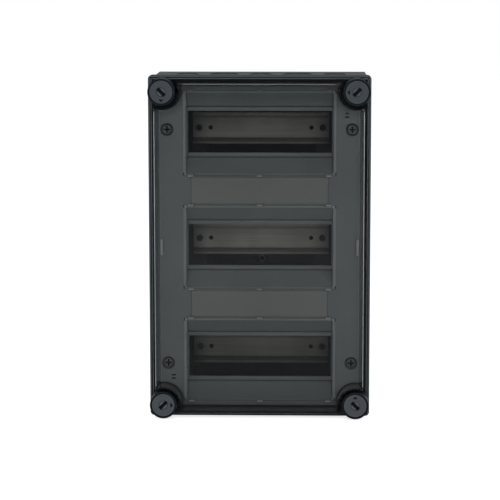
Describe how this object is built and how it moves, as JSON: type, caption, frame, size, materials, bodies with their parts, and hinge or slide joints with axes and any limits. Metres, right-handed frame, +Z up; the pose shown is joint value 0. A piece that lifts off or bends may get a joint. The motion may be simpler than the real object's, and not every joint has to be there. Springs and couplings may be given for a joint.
{
  "type": "circuit breaker enclosure",
  "caption": "Wall-mounted breaker enclosure: dark base, smoked lid on quarter-turn corner fasteners, inner cover with window rows over mounting rails.",
  "frame": {"origin": "centre of the flat back face that lies on the wall", "axes": "+Z up, +Y into the wall, so the lid faces -Y; X across, centred"},
  "size_m": [0.242, 0.15, 0.376],
  "materials": {
    "base_plastic": "fine moulded grain, black",
    "lid_smoked": "polished smoked clear plastic",
    "seal_rubber": "soft dark ring",
    "cover_plastic": "satin light grey",
    "strip_plastic": "satin pale grey",
    "sleeve_plastic": "semi-gloss black",
    "fastener_plastic": "satin blue-grey",
    "rail_steel": "zinc plated, drawn lines",
    "screw_steel": "plated",
    "screw_dark": "black oxide"
  },
  "bodies": {
    "enclosure": {"base": "base_plastic", "lid": "lid_smoked", "lid_seal": "seal_rubber", "inner_cover": "cover_plastic", "sleeve_top_left": "sleeve_plastic", "cover_screw_top_left": "screw_steel", "sleeve_top_right": "sleeve_plastic", "cover_screw_top_right": "screw_steel", "sleeve_bottom_right": "sleeve_plastic", "cover_screw_bottom_right": "screw_steel", "sleeve_bottom_left": "sleeve_plastic", "cover_screw_bottom_left": "screw_steel", "window_unit_top": "cover_plastic", "rail_top": "rail_steel", "rail_screw_top_left": "screw_dark", "rail_screw_top_right": "screw_dark", "window_unit_middle": "cover_plastic", "rail_middle": "rail_steel", "rail_screw_middle_left": "screw_dark", "rail_screw_middle_right": "screw_dark", "window_unit_bottom": "cover_plastic", "rail_bottom": "rail_steel", "rail_screw_bottom_left": "screw_dark", "rail_screw_bottom_right": "screw_dark", "marking_strip_upper": "strip_plastic", "marking_strip_lower": "strip_plastic", "rail_support_left": "base_plastic", "rail_support_right": "base_plastic"},
    "fastener_top_left": {"fastener_top_left": "fastener_plastic"},
    "fastener_top_right": {"fastener_top_right": "fastener_plastic"},
    "fastener_bottom_right": {"fastener_bottom_right": "fastener_plastic"},
    "fastener_bottom_left": {"fastener_bottom_left": "fastener_plastic"}
  },
  "joints": [
    {"name": "fastener_top_left_turn", "type": "hinge", "parent": "enclosure", "child": "fastener_top_left", "pos_m": [-0.105, -0.1497, 0.17125], "axis": [0, -1, 0], "range_deg": [0, 90]},
    {"name": "fastener_top_right_turn", "type": "hinge", "parent": "enclosure", "child": "fastener_top_right", "pos_m": [0.105, -0.1497, 0.17125], "axis": [0, -1, 0], "range_deg": [0, 90]},
    {"name": "fastener_bottom_right_turn", "type": "hinge", "parent": "enclosure", "child": "fastener_bottom_right", "pos_m": [0.105, -0.1497, -0.17125], "axis": [0, -1, 0], "range_deg": [0, 90]},
    {"name": "fastener_bottom_left_turn", "type": "hinge", "parent": "enclosure", "child": "fastener_bottom_left", "pos_m": [-0.105, -0.1497, -0.17125], "axis": [0, -1, 0], "range_deg": [0, 90]}
  ]
}
